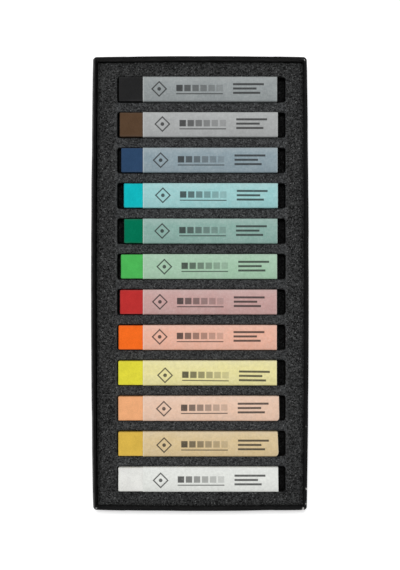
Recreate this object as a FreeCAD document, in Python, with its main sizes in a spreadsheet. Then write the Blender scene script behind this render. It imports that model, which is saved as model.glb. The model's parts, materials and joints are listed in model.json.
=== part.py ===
# Box of twelve square soft pastels: a paper-covered board tray with a die-cut foam insert.
# X runs along the sticks, Y along the row of sticks, +Z up, origin at the middle of the underside.
import FreeCAD, Part
import math
import os
import re
import Sketcher

V = FreeCAD.Vector
doc = FreeCAD.newDocument("PastelBox")

# Driving dimensions in millimetres, as alias, value and meaning
DRIVING = [
    ("stick_long", 64.5, "full length of a pastel stick"),
    ("stick_wide", 9.8, "side of the square stick"),
    ("stick_edge_radius", 0.8, "rounding of the four long edges"),
    ("stick_end_radius", 0.5, "rounding round the two ends"),
    ("stick_cut_short", 2.4, "most that a stick is cut short of its full length"),
    ("wrapper_long", 54.6, "shortest length of the paper wrapper over the stick"),
    ("wrapper_thick", 0.1, "wrapper paper"),
    ("wrapper_slack", 0.05, "air between stick and wrapper"),
    ("wrapper_overhang", 0.1, "wrapper past the covered end of the stick"),
    ("wrapper_extra", 1.0, "most that a wrapper is cut longer at that end"),
    ("flap_wide", 3.2, "glued overlap under the stick"),
    ("flap_offset", 2.4, "middle of the overlap beside the middle of the stick"),
    ("pocket_slack", 0.15, "air at each side of a wrapper in its pocket"),
    ("pocket_left_gap", 0.25, "air at the bare end of a full length stick"),
    ("pocket_finger_gap", 3.5, "free end of a pocket"),
    ("pocket_radius", 0.8, "corner of the cutting die"),
    ("rest_gap", 0.05, "air under a wrapper"),
    ("web_wide", 3.98, "foam between two pockets"),
    ("rail_left", 7.9, "foam beside the bare ends"),
    ("rail_right", 7.2, "foam beside the wrapped ends"),
    ("bar_back", 5.7, "foam behind the first stick"),
    ("bar_front", 5.55, "foam in front of the last stick"),
    ("foam_thick", 8.0, "cut layer of foam"),
    ("foam_base_thick", 2.5, "plain layer of foam"),
    ("foam_radius", 0.6, "outer corner of the foam"),
    ("foam_gap_left", 0.6, "air between foam and left wall"),
    ("foam_gap_right", 0.15, "air between foam and right wall"),
    ("foam_gap_back", 0.6, "air between foam and back wall"),
    ("foam_gap_front", 0.15, "air between foam and front wall"),
    ("rim_rise", 4.5, "rim above the foam"),
    ("board_thick", 0.7, "grey board"),
    ("board_seam", 0.1, "open seam where two board walls meet"),
    ("stay_thick", 0.08, "corner tape"),
    ("stay_leg", 8.0, "corner tape along each wall"),
    ("stay_margin", 1.0, "board left bare above and below the tape"),
    ("cover_thick", 0.12, "cover paper"),
    ("turn_in", 9.9, "cover paper turned down inside the walls"),
    ("glue_film", 0.03, "glue between two layers"),
    ("inner_radius", 0.4, "inner corner of the tray"),
    ("side_bow", 0.8, "long walls bulge at the rim"),
    ("end_bow", 0.45, "short walls bulge at the rim"),
    ("overrun", 2.0, "how far a cutting body runs past what it cuts"),
]

# Sticks from back to front, each with its shortfall and its wrapper's extra length as shares of the greatest
STICK_SHARES = [
    ("black", 0.10, 0.10),
    ("brown", 0.25, 0.40),
    ("navy", 0.50, 0.30),
    ("turquoise", 0.95, 0.40),
    ("dark_green", 1.00, 0.25),
    ("green", 0.45, 0.10),
    ("red", 0.30, 0.00),
    ("orange", 0.05, 0.00),
    ("yellow", 0.00, 0.00),
    ("peach", 0.00, 1.00),
    ("ochre", 0.00, 0.75),
    ("white", 0.00, 0.65),
]

# Derived sizes, each a formula of the driving ones and of formulas above it
DERIVED = {
    "wrapper_wide": "stick_wide + 2 * (wrapper_slack + wrapper_thick)",
    "pocket_wide": "wrapper_wide + 2 * pocket_slack",
    "pocket_long": "pocket_left_gap + stick_long + pocket_finger_gap",
    "pitch": "pocket_wide + web_wide",
    "rows_long": f"{len(STICK_SHARES)} * pocket_wide + {len(STICK_SHARES) - 1} * web_wide",
    "foam_wide": "rail_left + pocket_long + rail_right",
    "foam_long": "bar_back + rows_long + bar_front",
    "stay_space": "stay_thick + 2 * glue_film",
    "wall_thick": "2 * cover_thick + stay_space + board_thick + glue_film",
    "half_wide": "(foam_wide + foam_gap_left + foam_gap_right) / 2 + wall_thick",
    "half_long": "(foam_long + foam_gap_back + foam_gap_front) / 2 + wall_thick",
    "outer_radius": "inner_radius + wall_thick",
    "floor_top": "cover_thick + glue_film + board_thick",
    "foam_base_low": "floor_top + glue_film",
    "foam_base_top": "foam_base_low + foam_base_thick",
    "foam_low": "foam_base_top + glue_film",
    "foam_top": "foam_low + foam_thick",
    "tray_tall": "foam_top + rim_rise",
    "board_low": "cover_thick + glue_film",
    "board_top": "tray_tall - cover_thick - glue_film",
    "foam_x": "(foam_gap_left - foam_gap_right) / 2",
    "foam_y": "(foam_gap_front - foam_gap_back) / 2",
    "pocket_left": "foam_x - foam_wide / 2 + rail_left",
    "first_row": "foam_y + foam_long / 2 - bar_back - pocket_wide / 2",
    "stick_left": "pocket_left + pocket_left_gap",
    "stick_right": "stick_left + stick_long",
    "axis_height": "foam_base_top + rest_gap + wrapper_thick + wrapper_wide / 2",
}

sheet = doc.addObject("Spreadsheet::Sheet", "Sizes")
for row, (alias, value, meaning) in enumerate(DRIVING, start=1):
    sheet.set(f"A{row}", alias)
    sheet.set(f"B{row}", str(value))
    sheet.set(f"C{row}", meaning)
    sheet.setAlias(f"B{row}", alias)
doc.recompute()
driving_names = {alias for alias, value, meaning in DRIVING}


def bound(formula):
    """The formula with every name written out in cells of the sheet."""
    def cell(match):
        name = match.group()
        if name in driving_names:
            return "Sizes." + name
        return "(" + bound(DERIVED[name]) + ")" if name in DERIVED else name
    return re.sub(r"[a-z_]+", cell, formula)


def number(formula):
    return float(sheet.evalExpression(bound(formula)))


def bind(item, property_name, formula):
    item.setExpression(property_name, bound(formula))


def new_body(label):
    body = doc.addObject("PartDesign::Body", label.title().replace("_", ""))
    body.Label = label
    return body


def new_sketch(body, name, role, shift=None):
    """An empty sketch on one of the body's origin planes, shifted by formulas along its own axes."""
    sketch = body.newObject("Sketcher::SketchObject", name)
    plane = [item for item in body.Origin.OriginFeatures if item.Role == role][0]
    sketch.AttachmentSupport = (plane, [""])
    sketch.MapMode = "FlatFace"
    for axis, formula in (shift or {}).items():
        bind(sketch, "AttachmentOffset.Base." + axis, formula)
    return sketch


def dimension(sketch, formula, kind, *places):
    """A driving constraint of the sketch, bound to a formula."""
    index = sketch.addConstraint(Sketcher.Constraint(kind, *places, number(formula)))
    bind(sketch, f"Constraints[{index}]", formula)


def draw_outline(sketch, half_x, half_y, radius, bow_x=None, bow_y=None):
    """A rounded rectangle about the sketch's origin, whose sides may bulge outwards as arcs."""
    a, b, r = number(half_x), number(half_y), number(radius)
    p = number(bow_x) if bow_x else 0
    q = number(bow_y) if bow_y else 0
    first = sketch.GeometryCount

    def side(start, middle, end, bow):
        sketch.addGeometry(Part.Arc(start, middle, end) if bow else Part.LineSegment(start, end))

    def corner(sign_x, sign_y, start):
        circle = Part.Circle(V(sign_x * (a - r), sign_y * (b - r), 0), V(0, 0, 1), r)
        sketch.addGeometry(Part.ArcOfCircle(circle, start, start + math.pi / 2))

    side(V(a, r - b, 0), V(a + p, 0, 0), V(a, b - r, 0), bow_x)
    corner(1, 1, 0)
    side(V(a - r, b, 0), V(0, b + q, 0), V(r - a, b, 0), bow_y)
    corner(-1, 1, math.pi / 2)
    side(V(-a, b - r, 0), V(-a - p, 0, 0), V(-a, r - b, 0), bow_x)
    corner(-1, -1, math.pi)
    side(V(r - a, -b, 0), V(0, -b - q, 0), V(a - r, -b, 0), bow_y)
    corner(1, -1, 3 * math.pi / 2)
    for index in range(8):
        following = first + (index + 1) % 8
        sketch.addConstraint(Sketcher.Constraint("Coincident", first + index, 2, following, 1))
    corners = ((1, "", "", "Horizontal", "Vertical"), (3, "-", "", "Vertical", "Horizontal"),
               (5, "-", "-", "Horizontal", "Vertical"), (7, "", "-", "Vertical", "Horizontal"))
    for index, sign_x, sign_y, start_kind, end_kind in corners:
        arc = first + index
        dimension(sketch, f"{sign_x}(({half_x}) - ({radius}))", "DistanceX", -1, 1, arc, 3)
        dimension(sketch, f"{sign_y}(({half_y}) - ({radius}))", "DistanceY", -1, 1, arc, 3)
        dimension(sketch, radius, "Radius", arc)
        sketch.addConstraint(Sketcher.Constraint(start_kind, arc, 3, arc, 1))
        sketch.addConstraint(Sketcher.Constraint(end_kind, arc, 3, arc, 2))
    for bow, half, sides in ((bow_x, half_y, (0, 4)), (bow_y, half_x, (2, 6))):
        if bow:
            # An arc over a chord c with rise b has the radius ((c / 2)^2 + b^2) / (2 b)
            rise = f"((({half}) - ({radius}))^2 + ({bow})^2) / (2 * ({bow}))"
            for index in sides:
                dimension(sketch, rise, "Radius", first + index)


def tray_outline(body, name, inset, height, law=None):
    """The tray's outline at a height, moved in from its outer face, bulging by a share of the bows."""
    sketch = new_sketch(body, name, "XY_Plane", {"z": height})
    bows = (f"side_bow * ({law})", f"end_bow * ({law})") if law else (None, None)
    draw_outline(sketch, f"half_wide - ({inset})", f"half_long - ({inset})",
                 f"outer_radius - ({inset})", *bows)
    return sketch


def outer_law(height):
    return f"({height}) / tray_tall"


def inner_law(height):
    return f"(({height}) - floor_top) / (tray_tall - floor_top)"


def loft(body, kind, name, low, high):
    """A ruled loft between two outlines, added to the body or taken from it."""
    feature = body.newObject("PartDesign::" + kind, name)
    feature.Profile = low
    feature.Sections = [high]
    feature.Ruled = True
    doc.recompute()
    return feature


def extrude(body, kind, name, sketch, length, reverse=False):
    """A pad or a pocket of a sketch. A pocket cuts against the sketch's normal unless it is reversed."""
    feature = body.newObject("PartDesign::" + kind, name)
    feature.Profile = sketch
    feature.Reversed = reverse
    bind(feature, "Length", length)
    doc.recompute()
    return feature


# Wall layers from the outside in, as insets from the outer face
COVER_INSIDE = "cover_thick"
STAY_OUTSIDE = "cover_thick + glue_film"
STAY_INSIDE = "cover_thick + glue_film + stay_thick"
BOARD_OUTSIDE = "cover_thick + stay_space"
BOARD_INSIDE = "cover_thick + stay_space + board_thick"
TURN_OUTSIDE = "wall_thick - cover_thick"
WALL_INSIDE = "wall_thick"


def tray_board():
    """One scored blank folded up into a tray, its four corners open seams."""
    body = new_body("tray_board")
    low = tray_outline(body, "BoardFoot", BOARD_OUTSIDE, "board_low")
    high = tray_outline(body, "BoardRim", BOARD_OUTSIDE, "board_top", outer_law("board_top"))
    loft(body, "AdditiveLoft", "BoardBlock", low, high)
    low = tray_outline(body, "HollowFoot", BOARD_INSIDE, "floor_top")
    over = "tray_tall + overrun"
    high = tray_outline(body, "HollowTop", BOARD_INSIDE, over, inner_law(over))
    loft(body, "SubtractiveLoft", "BoardHollow", low, high)
    seams = new_sketch(body, "SeamPlan", "XY_Plane", {"z": "tray_tall"})
    near = f"half_wide - ({BOARD_INSIDE}) - board_seam"
    reach = f"half_long - ({BOARD_INSIDE}) - overrun"
    for sign_x in ("", "-"):
        for sign_y in ("", "-"):
            draw_rectangle(seams, f"{sign_x}({near})", f"{sign_x}({near} + board_seam)",
                           f"{sign_y}({reach})", f"{sign_y}({reach} + 2 * overrun)")
    extrude(body, "Pocket", "Seams", seams, "tray_tall - floor_top")
    return body


def draw_rectangle(sketch, left, right, low, high):
    """A plain rectangle between four formulas."""
    x0, x1, y0, y1 = (number(formula) for formula in (left, right, low, high))
    first = sketch.GeometryCount
    points = [V(x0, y0, 0), V(x1, y0, 0), V(x1, y1, 0), V(x0, y1, 0)]
    for index in range(4):
        sketch.addGeometry(Part.LineSegment(points[index], points[(index + 1) % 4]))
    for index in range(4):
        following = first + (index + 1) % 4
        sketch.addConstraint(Sketcher.Constraint("Coincident", first + index, 2, following, 1))
    for index, kind in enumerate(("Horizontal", "Vertical", "Horizontal", "Vertical")):
        sketch.addConstraint(Sketcher.Constraint(kind, first + index))
    dimension(sketch, left, "DistanceX", -1, 1, first, 1)
    dimension(sketch, right, "DistanceX", -1, 1, first + 1, 2)
    dimension(sketch, low, "DistanceY", -1, 1, first, 1)
    dimension(sketch, high, "DistanceY", -1, 1, first + 1, 2)


def corner_stays():
    """Four tape strips that hold the board corners together under the cover paper."""
    body = new_body("corner_stays")
    body.AllowCompound = True
    bottom, top = "board_low + stay_margin", "board_top - stay_margin"
    for kind, name, inset in (("AdditiveLoft", "Tape", STAY_OUTSIDE),
                              ("SubtractiveLoft", "Inside", STAY_INSIDE)):
        low = tray_outline(body, name + "Foot", inset, bottom, outer_law(bottom))
        high = tray_outline(body, name + "Top", inset, top, outer_law(top))
        loft(body, kind, name, low, high)
    for name, half_x, half_y in (("EndGap", "half_wide - stay_leg", "half_long + overrun"),
                                 ("SideGap", "half_wide + overrun", "half_long - stay_leg")):
        sketch = new_sketch(body, name + "Plan", "XY_Plane", {"z": "tray_tall"})
        draw_rectangle(sketch, f"-({half_x})", half_x, f"-({half_y})", half_y)
        extrude(body, "Pocket", name, sketch, "tray_tall + overrun")
    return body


def cover_paper():
    """The cover: underside, outer walls, rim and the strip turned down inside the walls."""
    body = new_body("cover_paper")
    low = tray_outline(body, "OuterFoot", "0", "0")
    high = tray_outline(body, "OuterRim", "0", "tray_tall", outer_law("tray_tall"))
    loft(body, "AdditiveLoft", "Outside", low, high)
    under_rim, turned = "tray_tall - cover_thick", "tray_tall - turn_in"
    low = tray_outline(body, "SkinFoot", COVER_INSIDE, "cover_thick")
    high = tray_outline(body, "SkinTop", COVER_INSIDE, under_rim, outer_law(under_rim))
    loft(body, "SubtractiveLoft", "BoardSpace", low, high)
    low = tray_outline(body, "TurnFoot", TURN_OUTSIDE, turned, inner_law(turned))
    high = tray_outline(body, "TurnTop", TURN_OUTSIDE, under_rim, inner_law(under_rim))
    loft(body, "AdditiveLoft", "TurnIn", low, high)
    below, over = "tray_tall - turn_in - glue_film", "tray_tall + overrun"
    low = tray_outline(body, "MouthFoot", WALL_INSIDE, below, inner_law(below))
    high = tray_outline(body, "MouthTop", WALL_INSIDE, over, inner_law(over))
    loft(body, "SubtractiveLoft", "Mouth", low, high)
    return body


def foam_block(body, bottom, top):
    """A foam layer that follows the walls from one height to another."""
    for axis, formula in (("x", "foam_x"), ("y", "foam_y")):
        bind(body, "Placement.Base." + axis, formula)
    ends = []
    for name, height in (("Foot", bottom), ("Top", top)):
        sketch = new_sketch(body, "Foam" + name, "XY_Plane", {"z": height})
        law = inner_law(height)
        straight = number(height) < number("floor_top + 2 * glue_film")
        bows = (None, None) if straight else (f"side_bow * {law}", f"end_bow * {law}")
        draw_outline(sketch, "foam_wide / 2", "foam_long / 2", "foam_radius", *bows)
        ends.append(sketch)
    loft(body, "AdditiveLoft", "Foam", *ends)


def foam_base():
    """The plain layer that the sticks lie on."""
    body = new_body("foam_base")
    foam_block(body, "foam_base_low", "foam_base_top")
    return body


def foam_insert():
    """The cut layer, with one pocket for each stick."""
    body = new_body("foam_insert")
    foam_block(body, "foam_low", "foam_top")
    volume = body.Shape.Volume
    plan = new_sketch(body, "PocketPlan", "XY_Plane",
                      {"x": "pocket_left + pocket_long / 2 - foam_x", "y": "first_row - foam_y",
                       "z": "foam_top + overrun"})
    draw_outline(plan, "pocket_long / 2", "pocket_wide / 2", "pocket_radius")
    pocket = extrude(body, "Pocket", "StickPocket", plan, "foam_thick + 2 * overrun")
    one = volume - body.Shape.Volume
    rows = body.newObject("PartDesign::LinearPattern", "PocketRows")
    rows.Originals = [pocket]
    rows.Direction = (plan, ["V_Axis"])
    rows.Reversed = True
    rows.Occurrences = len(STICK_SHARES)
    bind(rows, "Length", f"{len(STICK_SHARES) - 1} * pitch")
    body.Tip = rows
    doc.recompute()
    print("pockets cut", round((volume - body.Shape.Volume) / one, 3))
    return body


def place_on_row(body, row, x):
    bind(body, "Placement.Base.x", x)
    bind(body, "Placement.Base.y", f"first_row - {row} * pitch")
    bind(body, "Placement.Base.z", "axis_height")


def pastel_stick(colour, row, shortfall):
    """A pressed square stick that lies with its covered end level with the others."""
    body = new_body("stick_" + colour)
    section = new_sketch(body, "Section", "YZ_Plane")
    draw_outline(section, "stick_wide / 2", "stick_wide / 2", "stick_edge_radius")
    missing = f"{shortfall} * stick_cut_short"
    pad = extrude(body, "Pad", "Bar", section, f"stick_long - {missing}")
    ends = body.newObject("PartDesign::Fillet", "Ends")
    first, last = pad.Shape.BoundBox.XMin, pad.Shape.BoundBox.XMax
    middle = (first + last) / 2
    rims = [f"Edge{index}" for index, edge in enumerate(pad.Shape.Edges, start=1)
            if edge.BoundBox.XMax < middle or edge.BoundBox.XMin > middle]
    ends.Base = (pad, rims)
    bind(ends, "Radius", "stick_end_radius")
    doc.recompute()
    place_on_row(body, row, f"stick_left + {missing}")
    return body


def paper_wrapper(colour, row, extra):
    """A paper sleeve round the stick, glued with an overlap on its underside."""
    body = new_body("wrapper_" + colour)
    section = new_sketch(body, "Section", "YZ_Plane")
    draw_outline(section, "wrapper_wide / 2", "wrapper_wide / 2",
                 "stick_edge_radius + wrapper_slack + wrapper_thick")
    draw_outline(section, "wrapper_wide / 2 - wrapper_thick", "wrapper_wide / 2 - wrapper_thick",
                 "stick_edge_radius + wrapper_slack")
    length = f"wrapper_long + {extra} * wrapper_extra"
    extrude(body, "Pad", "Sleeve", section, length)
    lap = new_sketch(body, "Lap", "YZ_Plane")
    draw_rectangle(lap, "flap_offset - flap_wide / 2", "flap_offset + flap_wide / 2",
                   "-wrapper_wide / 2 - wrapper_thick", "-wrapper_wide / 2")
    extrude(body, "Pad", "Overlap", lap, length)
    place_on_row(body, row, "stick_right + wrapper_overhang - wrapper_long")
    return body


bodies = [tray_board(), corner_stays(), cover_paper(), foam_base(), foam_insert()]
for row, (colour, shortfall, extra) in enumerate(STICK_SHARES):
    bodies.append(pastel_stick(colour, row, shortfall))
    bodies.append(paper_wrapper(colour, row, extra))
doc.recompute()

failed = [item.Name for item in doc.Objects if "Invalid" in item.State or "Error" in item.State]
if failed:
    raise RuntimeError("failed objects: " + ", ".join(failed))
os.makedirs("parts", exist_ok=True)
for body in bodies:
    shape = body.Shape
    if shape.isNull() or not shape.isValid():
        raise RuntimeError(body.Label + " has no valid shape")
    shape.exportStep(os.path.join("parts", body.Label + ".step"))
    print(body.Label, len(shape.Solids), "solid(s)", round(shape.Volume, 2), "mm3")
print("tray", *(round(2 * number(half), 2) for half in ("half_wide", "half_long")),
      "tall", round(number("tray_tall"), 2))
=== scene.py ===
# Dresses the pastel box: a paper-covered board tray, die-cut foam, chalk sticks in paper sleeves
import json
import math

import bpy
import numpy as np
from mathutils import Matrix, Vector


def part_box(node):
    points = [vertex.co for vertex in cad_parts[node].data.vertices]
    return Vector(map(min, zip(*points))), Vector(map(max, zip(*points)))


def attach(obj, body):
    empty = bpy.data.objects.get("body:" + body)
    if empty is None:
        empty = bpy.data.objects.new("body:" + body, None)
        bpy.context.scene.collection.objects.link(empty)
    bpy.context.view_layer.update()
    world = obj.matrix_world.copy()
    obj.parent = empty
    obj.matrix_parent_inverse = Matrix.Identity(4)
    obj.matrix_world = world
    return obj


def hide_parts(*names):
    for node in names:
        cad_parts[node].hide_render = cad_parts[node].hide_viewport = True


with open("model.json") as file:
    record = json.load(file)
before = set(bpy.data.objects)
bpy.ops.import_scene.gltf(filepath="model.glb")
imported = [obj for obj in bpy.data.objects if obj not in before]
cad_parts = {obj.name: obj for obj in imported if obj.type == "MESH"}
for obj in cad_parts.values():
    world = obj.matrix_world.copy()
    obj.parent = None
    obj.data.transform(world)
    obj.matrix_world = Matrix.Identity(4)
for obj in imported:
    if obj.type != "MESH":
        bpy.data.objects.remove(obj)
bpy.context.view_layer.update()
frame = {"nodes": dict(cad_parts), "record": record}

mm = 0.001
nodes = frame["nodes"]
colourNames = [name[len("pastel_"):] for name in frame["record"]["behaviour"]["bodies"] if name != "tray"]
print("frame loaded,", len(nodes), "nodes,", len(colourNames), "sticks")


# Meshes from numpy arrays

def waves(points, seed, size, shortest, longest, count=24):
    # Even noise of that size: the sum of plane waves sin(k . p + phase), wavelengths spread by their logs
    dice = np.random.default_rng(seed)
    ways = dice.normal(size=(count, 3))
    ways /= np.linalg.norm(ways, axis=1, keepdims=True)
    lengths = np.exp(dice.uniform(math.log(shortest), math.log(longest), count))
    phases = dice.uniform(0, 2 * math.pi, count)
    turns = points @ (2 * math.pi * ways / lengths[:, None]).T + phases
    return np.sin(turns).sum(axis=1) * size / math.sqrt(count / 2)


def smooth(low, high, values):
    # Rises from 0 to 1 between low and high along 3t^2 - 2t^3
    t = np.clip((values - low) / (high - low), 0, 1)
    return t * t * (3 - 2 * t)


def bearing(angle):
    return np.stack([np.cos(angle), np.sin(angle)], -1)


def gridPoints(x, y, z):
    return np.stack(np.broadcast_arrays(x, y, z), -1).reshape(-1, 3)


def sweep(x, section, centre=(0, 0)):
    # Points at each x, whose y and z follow the section about the centre
    return gridPoints(x, section[..., 0] + centre[0], section[..., 1] + centre[1])


def gridFaces(rows, columns, closed=False):
    # Quads between the rows of a point grid, whose columns may close to a ring
    index = np.arange(rows * columns).reshape(rows, columns)
    if closed:
        index = np.hstack([index, index[:, :1]])
    return np.stack([index[:-1, :-1], index[:-1, 1:], index[1:, 1:], index[1:, :-1]], axis=-1).reshape(-1, 4)


def stand(name, data, place=(0, 0, 0)):
    item = bpy.data.objects.new(name, data)
    item.location = place
    bpy.context.scene.collection.objects.link(item)
    return item


def makePiece(name, points, faces, material, masks=None, uv=None):
    # A mesh object at the origin, with masks and a place on the map for each point
    mesh = bpy.data.meshes.new(name)
    mesh.from_pydata(points.tolist(), [], [list(map(int, face)) for face in faces])
    mesh.shade_smooth()
    for label, values in (masks or {}).items():
        mesh.attributes.new(label, "FLOAT", "POINT").data.foreach_set("value", values.astype(np.float32))
    if uv is not None:
        layer = mesh.uv_layers.new(name="sleeveMap")
        layer.data.foreach_set("uv", uv[faces].astype(np.float32).ravel())
    mesh.materials.append(material)
    return stand(name, mesh)


def dress(piece, body, node):
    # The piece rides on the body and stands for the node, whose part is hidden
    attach(piece, body)
    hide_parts(node)


def addPaper(piece, thick, offset):
    skin = piece.modifiers.new("paper", "SOLIDIFY")
    skin.thickness = thick
    skin.offset = offset


# Shader tools

def feed(tree, inputs, values):
    # Each input takes another node's output or a plain value
    for key, value in values.items():
        if isinstance(value, bpy.types.NodeSocket):
            tree.links.new(value, inputs[key])
        else:
            inputs[key].default_value = value


def addNode(tree, kind, values=None, **settings):
    node = tree.nodes.new("ShaderNode" + kind)
    for key, value in settings.items():
        setattr(node, key, value)
    feed(tree, node.inputs, values or {})
    return node


def calc(tree, operation, *values):
    return addNode(tree, "Math", dict(enumerate(values)), operation=operation).outputs[0]


def times(tree, first, second):
    return calc(tree, "MULTIPLY", first, second)


def mixColour(tree, factor, first, second, blend="MIX"):
    first, second = ((*value, 1) if isinstance(value, tuple) else value for value in (first, second))
    mixed = addNode(tree, "Mix", {0: factor, 6: first, 7: second}, data_type="RGBA", blend_type=blend)
    return mixed.outputs[2]


def spread(tree, value, low, high, toLow=0.0, toHigh=1.0, kind="SMOOTHSTEP"):
    values = {"Value": value, "From Min": low, "From Max": high, "To Min": toLow, "To Max": toHigh}
    return addNode(tree, "MapRange", values, interpolation_type=kind).outputs[0]


def noise(tree, vector, size, detail=2.0, rough=0.5):
    # Noise whose blobs are about that many metres across
    values = {"Vector": vector, "Scale": 1 / size, "Detail": detail, "Roughness": rough}
    return addNode(tree, "TexNoise", values).outputs[0]


def mask(tree, label):
    return addNode(tree, "Attribute", attribute_name=label).outputs["Fac"]


def newGroup(name, inputs, outputs):
    # A group, what its inputs give and its outputs take. An input without a value is a place
    group = bpy.data.node_groups.new(name, "ShaderNodeTree")
    addSocket = group.interface.new_socket
    for label, value in inputs.items():
        kind = "NodeSocketVector" if value is None else "NodeSocketFloat"
        socket = addSocket(label, in_out="INPUT", socket_type=kind)
        if value is not None:
            socket.default_value = value
    for label in outputs:
        addSocket(label, in_out="OUTPUT", socket_type="NodeSocketFloat")
    return group, group.nodes.new("NodeGroupInput").outputs, group.nodes.new("NodeGroupOutput").inputs


def useGroup(tree, group, **values):
    return addNode(tree, "Group", values, node_tree=group).outputs


def newMaterial(name, specular=0.5):
    # A material, its tree, and the place in the object's own coordinates
    material = bpy.data.materials.new(name)
    material.use_nodes = True
    tree = material.node_tree
    feed(tree, tree.nodes["Principled BSDF"].inputs, {"Specular IOR Level": specular})
    return material, tree, addNode(tree, "TexCoord").outputs["Object"]


def finishMaterial(material, colour, rough, height, depth, strength):
    tree = material.node_tree
    bump = addNode(tree, "Bump", {"Height": height, "Distance": depth, "Strength": strength})
    values = {"Base Color": colour, "Roughness": rough, "Normal": bump.outputs[0]}
    feed(tree, tree.nodes["Principled BSDF"].inputs, values)
    return material


# Shared effects

def paperFibreGroup():
    # Pressed fibres: two stretched noises crossed, and a fine tooth
    group, start, end = newGroup("paperFibre", {"Place": None, "Size": 0.6 * mm}, ["Tone", "Height"])
    place, fine = start["Place"], calc(group, "DIVIDE", 1.0, start["Size"])
    strands = []
    for turn, stretch in ((0.6, (1.0, 0.22, 1.0)), (-0.9, (0.25, 1.0, 1.0))):
        turned = addNode(group, "Mapping", {"Vector": place, "Rotation": (0, 0, turn), "Scale": stretch})
        strand = addNode(group, "TexNoise", {"Vector": turned.outputs[0], "Scale": fine, "Detail": 3.0})
        strands.append(strand.outputs[0])
    both = calc(group, "ADD", *strands)
    tooth = addNode(group, "TexNoise", {"Vector": place, "Scale": times(group, fine, 2.3), "Detail": 1.0})
    height = calc(group, "ADD", both, tooth.outputs[0])
    feed(group, end, {"Tone": spread(group, both, 0.7, 1.3, -1.0, 1.0),
                      "Height": spread(group, height, 1.0, 2.0, kind="LINEAR")})
    return group


def wornEdgeGroup():
    # Bare where the worn mask and a ragged noise add up to enough, and rubbed round it
    group, start, end = newGroup("wornEdge", {"Place": None, "Worn": 0.0}, ["Bare", "Rubbed"])
    ragged = noise(group, start["Place"], 0.9 * mm, 4.0, 0.65)
    over = calc(group, "SUBTRACT", ragged, calc(group, "SUBTRACT", 1.05, start["Worn"]))
    feed(group, end, {"Bare": spread(group, over, 0.0, 0.06), "Rubbed": spread(group, over, -0.35, 0.05)})
    return group


cellSizes = {
    "cell": 0.47 * mm,
    "swirl": 0.5 * mm, "bend": 0.22 * mm,  # scale of the bends in the cells' walls, and how far they go
    "torn": 1.5 * mm,  # patches that are torn deeper
    "fine": 0.2 * mm,
    "glint": 0.7 * mm,  # spots where walls catch the light
}


def foamCellsGroup():
    # Cut cells, each a hollow of its own tone, and here and there walls between them that catch the light
    s = cellSizes
    group, start, end = newGroup("foamCells", {"Place": None}, ["Shade", "Glint", "Height"])
    place = start["Place"]
    swirl = addNode(group, "TexNoise", {"Vector": place, "Scale": 1 / s["swirl"]}).outputs["Color"]
    shift = addNode(group, "VectorMath", {0: swirl, 3: s["bend"]}, operation="SCALE").outputs[0]
    bent = addNode(group, "VectorMath", {0: place, 1: shift}).outputs[0]
    sizes = {"Vector": bent, "Scale": 1 / s["cell"]}
    cells = addNode(group, "TexVoronoi", sizes).outputs
    walls = addNode(group, "TexVoronoi", sizes, feature="DISTANCE_TO_EDGE").outputs
    pick = addNode(group, "SeparateXYZ", {"Vector": cells["Color"]}).outputs[0]
    hollow = spread(group, cells["Distance"], 0.1, 0.62)
    torn = noise(group, place, s["torn"], 2.0, 0.6)
    fine = noise(group, place, s["fine"], 2.0, 0.6)
    shade = spread(group, pick, 0.0, 1.0, 0.2, 1.8, "LINEAR")
    for value, low, high, least, most in ((hollow, 0.0, 1.0, 0.45, 1.2), (torn, 0.3, 0.7, 0.75, 1.25),
                                          (fine, 0.3, 0.7, 0.7, 1.3)):
        shade = times(group, shade, spread(group, value, low, high, least, most, "LINEAR"))
    strand = spread(group, walls["Distance"], 0.03, 0.17, 1.0, 0.0)
    seen = spread(group, noise(group, place, s["glint"], 1.0), 0.6, 0.72)
    height = calc(group, "ADD", hollow, times(group, fine, 0.3))
    feed(group, end, {"Shade": shade, "Glint": times(group, strand, seen), "Height": height})
    return group


paperFibre = paperFibreGroup()
wornEdge = wornEdgeGroup()
foamCells = foamCellsGroup()
print("shader groups made")


# Tray cover: black paper over the board

coverSizes = {
    "wall": 1.11 * mm,  # paper, tape, board and turned-in paper together
    "sideBow": 0.8 * mm, "endBow": 0.45 * mm,  # bulge of the long and the short walls at the rim
    "floorTop": 0.85 * mm,  # board floor, where the inside starts to lean
    "cornerRadius": 1.51 * mm, "outerFold": 0.36 * mm, "innerFold": 0.22 * mm, "footFold": 0.35 * mm,
    "turnedTo": 6.0 * mm,  # lower edge of the paper inside
    "paper": 0.12 * mm,
    "wave": (0.06 * mm, 18 * mm, 60 * mm),  # unevenness of the walls: size, shortest and longest wave
    "waveInside": 0.3,  # share of it on the inside
    "waveFoot": 4 * mm,  # it grows over this height
    "lapFrom": 13.5 * mm, "lapStep": 0.07 * mm,  # flap of the side paper glued round onto the end walls
    "lapEdge": 0.004,  # share of a wall over which that step rises
    "lapFoot": (0.3 * mm, 1.2 * mm),  # heights between which it grows
    # How far the wear reaches, then how far the folds' painted highlight reaches and where that is full
    "rimReach": 2.2 * mm, "footReach": 0.9 * mm, "cornerReach": 2.4 * mm,
    "foldLightIn": 0.62 * mm, "foldLightDown": 1.2 * mm, "foldLightFull": 0.2 * mm,
    # Mesh: spacing along the walls, points of an arc and a fold, rows outside and inside, rings below
    "sideStep": 1.0 * mm, "arcSteps": 10, "foldSteps": 7, "outerSteps": 16, "innerSteps": 9,
    "underRings": (36 * mm, 24 * mm, 12 * mm, 5 * mm, 2.2 * mm, 1 * mm),
    "underKept": 1.2 * mm,  # rings further in than this draw in towards the middle
}
coverTones = {
    "deep": (0.003, 0.003, 0.0033), "plain": (0.005, 0.005, 0.0053), "fleck": (0.014, 0.014, 0.014),
    # The rubbed grey stands both for real rubbing and for the painted light on the folds and insides
    "rubbed": (0.125, 0.124, 0.123), "bare": (0.42, 0.412, 0.4),
}
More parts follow.
